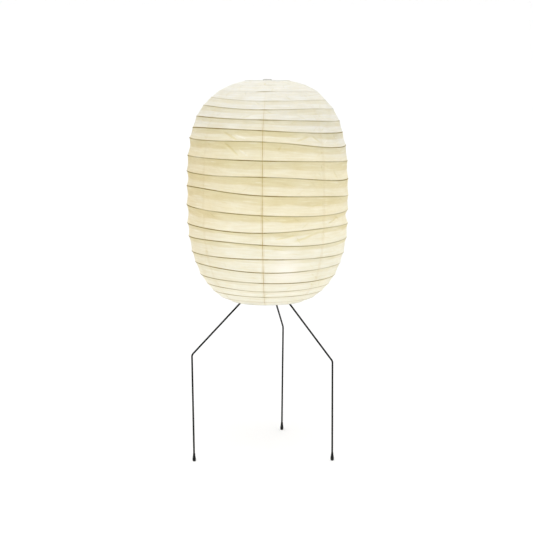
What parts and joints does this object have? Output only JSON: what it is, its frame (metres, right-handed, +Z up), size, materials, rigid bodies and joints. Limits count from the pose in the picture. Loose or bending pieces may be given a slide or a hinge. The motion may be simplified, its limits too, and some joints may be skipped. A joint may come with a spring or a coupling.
{
  "type": "paper lantern floor lamp",
  "caption": "Floor lamp with a tall ribbed paper lantern shade on a stand of bent steel-rod legs with rubber feet; the shade folds up and the legs pull out.",
  "frame": {"origin": "on the floor under the shade's vertical axis, where the plane of the three feet meets it", "axes": "+Z up along the shade's axis, -Y towards the front of the picture, +X to its right"},
  "size_m": [0.5356, 0.5593, 1.2473],
  "materials": {
    "washi_paper": "matte",
    "bamboo": "satin",
    "pale_wire": "satin",
    "black_steel": "satin",
    "black_rubber": "matte",
    "black_plastic": "satin",
    "zinc": "satin",
    "ceramic": "satin",
    "brass": "satin",
    "cap_metal": "satin",
    "opal_glass": "gloss"
  },
  "bodies": {
    "stand": {"leg_hub": "black_steel", "center_nipple": "zinc", "cord_bush": "black_rubber", "stretcher_frame": "pale_wire", "top_ring": "pale_wire", "lampholder_cap": "black_plastic", "lampholder_shell": "black_plastic", "lampholder_core": "ceramic", "lampholder_thread": "brass", "lampholder_contacts": "brass"},
    "bulb": {"bulb_glass": "opal_glass", "bulb_cap": "cap_metal", "bulb_contact": "brass"},
    "leg_left": {"leg_left": "black_steel", "foot_left": "black_rubber"},
    "clamp_screw_left": {"clamp_screw_left": "black_steel"},
    "leg_right": {"leg_right": "black_steel", "foot_right": "black_rubber"},
    "clamp_screw_right": {"clamp_screw_right": "black_steel"},
    "leg_rear": {"leg_rear": "black_steel", "foot_rear": "black_rubber"},
    "clamp_screw_rear": {"clamp_screw_rear": "black_steel"},
    "shade_01": {"rib_01": "bamboo"},
    "shade_02": {"rib_02": "bamboo", "paper_01": "washi_paper"},
    "shade_03": {"rib_03": "bamboo", "paper_02": "washi_paper"},
    "shade_04": {"rib_04": "bamboo", "paper_03": "washi_paper"},
    "shade_05": {"rib_05": "bamboo", "paper_04": "washi_paper"},
    "shade_06": {"rib_06": "bamboo", "paper_05": "washi_paper"},
    "shade_07": {"rib_07": "bamboo", "paper_06": "washi_paper"},
    "shade_08": {"rib_08": "bamboo", "paper_07": "washi_paper"},
    "shade_09": {"rib_09": "bamboo", "paper_08": "washi_paper"},
    "shade_10": {"rib_10": "bamboo", "paper_09": "washi_paper"},
    "shade_11": {"rib_11": "bamboo", "paper_10": "washi_paper"},
    "shade_12": {"rib_12": "bamboo", "paper_11": "washi_paper"},
    "shade_13": {"rib_13": "bamboo", "paper_12": "washi_paper"},
    "shade_14": {"rib_14": "bamboo", "paper_13": "washi_paper"},
    "shade_15": {"rib_15": "bamboo", "paper_14": "washi_paper"},
    "shade_16": {"rib_16": "bamboo", "paper_15": "washi_paper"},
    "shade_17": {"rib_17": "bamboo", "paper_16": "washi_paper"},
    "shade_18": {"rib_18": "bamboo", "paper_17": "washi_paper"},
    "shade_19": {"rib_19": "bamboo"},
    "shade_20": {"bottom_ring": "pale_wire", "paper_18": "washi_paper"}
  },
  "joints": [
    {"name": "leg_left_pull_out", "type": "slide", "parent": "stand", "child": "leg_left", "axis": [-0.6487, -0.4038, -0.645], "range_m": [0, 0.027]},
    {"name": "clamp_screw_left_turn", "type": "hinge", "parent": "stand", "child": "clamp_screw_left", "pos_m": [-0.02634, -0.01639, 0.58659], "axis": [-0.5476, -0.3409, 0.7641], "range_deg": [0, 720]},
    {"name": "leg_right_pull_out", "type": "slide", "parent": "stand", "child": "leg_right", "axis": [0.5756, -0.378, -0.7251], "range_m": [0, 0.027]},
    {"name": "clamp_screw_right_turn", "type": "hinge", "parent": "stand", "child": "clamp_screw_right", "pos_m": [0.02445, -0.01605, 0.58327], "axis": [0.6061, -0.398, 0.6886], "range_deg": [0, 720]},
    {"name": "leg_rear_pull_out", "type": "slide", "parent": "stand", "child": "leg_rear", "axis": [0.1506, 0.7725, -0.6169], "range_m": [0, 0.027]},
    {"name": "clamp_screw_rear_turn", "type": "hinge", "parent": "stand", "child": "clamp_screw_rear", "pos_m": [0.00603, 0.03094, 0.58773], "axis": [0.118, 0.6055, 0.7871], "range_deg": [0, 720]},
    {"name": "bulb_lift", "type": "slide", "parent": "stand", "child": "bulb", "axis": [0, 0, 1], "range_m": [0, 0.04]},
    {"name": "shade_fold_01", "type": "slide", "parent": "stand", "child": "shade_01", "axis": [0, 0, 1], "range_m": [0, 0.00923]},
    {"name": "shade_fold_02", "type": "slide", "parent": "stand", "child": "shade_02", "axis": [0, 0, 1], "range_m": [0, 0.02393], "deforming": ["paper_01"]},
    {"name": "shade_fold_03", "type": "slide", "parent": "stand", "child": "shade_03", "axis": [0, 0, 1], "range_m": [0, 0.04462], "deforming": ["paper_02"]},
    {"name": "shade_fold_04", "type": "slide", "parent": "stand", "child": "shade_04", "axis": [0, 0, 1], "range_m": [0, 0.06517], "deforming": ["paper_03"]},
    {"name": "shade_fold_05", "type": "slide", "parent": "stand", "child": "shade_05", "axis": [0, 0, 1], "range_m": [0, 0.0924], "deforming": ["paper_04"]},
    {"name": "shade_fold_06", "type": "slide", "parent": "stand", "child": "shade_06", "axis": [0, 0, 1], "range_m": [0, 0.12022], "deforming": ["paper_05"]},
    {"name": "shade_fold_07", "type": "slide", "parent": "stand", "child": "shade_07", "axis": [0, 0, 1], "range_m": [0, 0.14714], "deforming": ["paper_06"]},
    {"name": "shade_fold_08", "type": "slide", "parent": "stand", "child": "shade_08", "axis": [0, 0, 1], "range_m": [0, 0.18772], "deforming": ["paper_07"]},
    {"name": "shade_fold_09", "type": "slide", "parent": "stand", "child": "shade_09", "axis": [0, 0, 1], "range_m": [0, 0.22859], "deforming": ["paper_08"]},
    {"name": "shade_fold_10", "type": "slide", "parent": "stand", "child": "shade_10", "axis": [0, 0, 1], "range_m": [0, 0.26842], "deforming": ["paper_09"]},
    {"name": "shade_fold_11", "type": "slide", "parent": "stand", "child": "shade_11", "axis": [0, 0, 1], "range_m": [0, 0.31131], "deforming": ["paper_10"]},
    {"name": "shade_fold_12", "type": "slide", "parent": "stand", "child": "shade_12", "axis": [0, 0, 1], "range_m": [0, 0.35121], "deforming": ["paper_11"]},
    {"name": "shade_fold_13", "type": "slide", "parent": "stand", "child": "shade_13", "axis": [0, 0, 1], "range_m": [0, 0.38518], "deforming": ["paper_12"]},
    {"name": "shade_fold_14", "type": "slide", "parent": "stand", "child": "shade_14", "axis": [0, 0, 1], "range_m": [0, 0.42223], "deforming": ["paper_13"]},
    {"name": "shade_fold_15", "type": "slide", "parent": "stand", "child": "shade_15", "axis": [0, 0, 1], "range_m": [0, 0.44968], "deforming": ["paper_14"]},
    {"name": "shade_fold_16", "type": "slide", "parent": "stand", "child": "shade_16", "axis": [0, 0, 1], "range_m": [0, 0.47848], "deforming": ["paper_15"]},
    {"name": "shade_fold_17", "type": "slide", "parent": "stand", "child": "shade_17", "axis": [0, 0, 1], "range_m": [0, 0.50188], "deforming": ["paper_16"]},
    {"name": "shade_fold_18", "type": "slide", "parent": "stand", "child": "shade_18", "axis": [0, 0, 1], "range_m": [0, 0.51793], "deforming": ["paper_17"]},
    {"name": "shade_fold_19", "type": "slide", "parent": "stand", "child": "shade_19", "axis": [0, 0, 1], "range_m": [0, 0.5333]},
    {"name": "shade_fold", "type": "slide", "parent": "stand", "child": "shade_20", "axis": [0, 0, 1], "range_m": [0, 0.5435], "deforming": ["paper_18"]}
  ],
  "couplings": [
    {"joint": "shade_fold_01", "follows": "shade_fold", "ratio": 0.016973},
    {"joint": "shade_fold_02", "follows": "shade_fold", "ratio": 0.044018},
    {"joint": "shade_fold_03", "follows": "shade_fold", "ratio": 0.082103},
    {"joint": "shade_fold_04", "follows": "shade_fold", "ratio": 0.11991},
    {"joint": "shade_fold_05", "follows": "shade_fold", "ratio": 0.17},
    {"joint": "shade_fold_06", "follows": "shade_fold", "ratio": 0.2212},
    {"joint": "shade_fold_07", "follows": "shade_fold", "ratio": 0.27073},
    {"joint": "shade_fold_08", "follows": "shade_fold", "ratio": 0.34538},
    {"joint": "shade_fold_09", "follows": "shade_fold", "ratio": 0.42059},
    {"joint": "shade_fold_10", "follows": "shade_fold", "ratio": 0.49386},
    {"joint": "shade_fold_11", "follows": "shade_fold", "ratio": 0.57279},
    {"joint": "shade_fold_12", "follows": "shade_fold", "ratio": 0.6462},
    {"joint": "shade_fold_13", "follows": "shade_fold", "ratio": 0.70871},
    {"joint": "shade_fold_14", "follows": "shade_fold", "ratio": 0.77687},
    {"joint": "shade_fold_15", "follows": "shade_fold", "ratio": 0.82738},
    {"joint": "shade_fold_16", "follows": "shade_fold", "ratio": 0.88036},
    {"joint": "shade_fold_17", "follows": "shade_fold", "ratio": 0.92342},
    {"joint": "shade_fold_18", "follows": "shade_fold", "ratio": 0.95295},
    {"joint": "shade_fold_19", "follows": "shade_fold", "ratio": 0.98123}
  ]
}
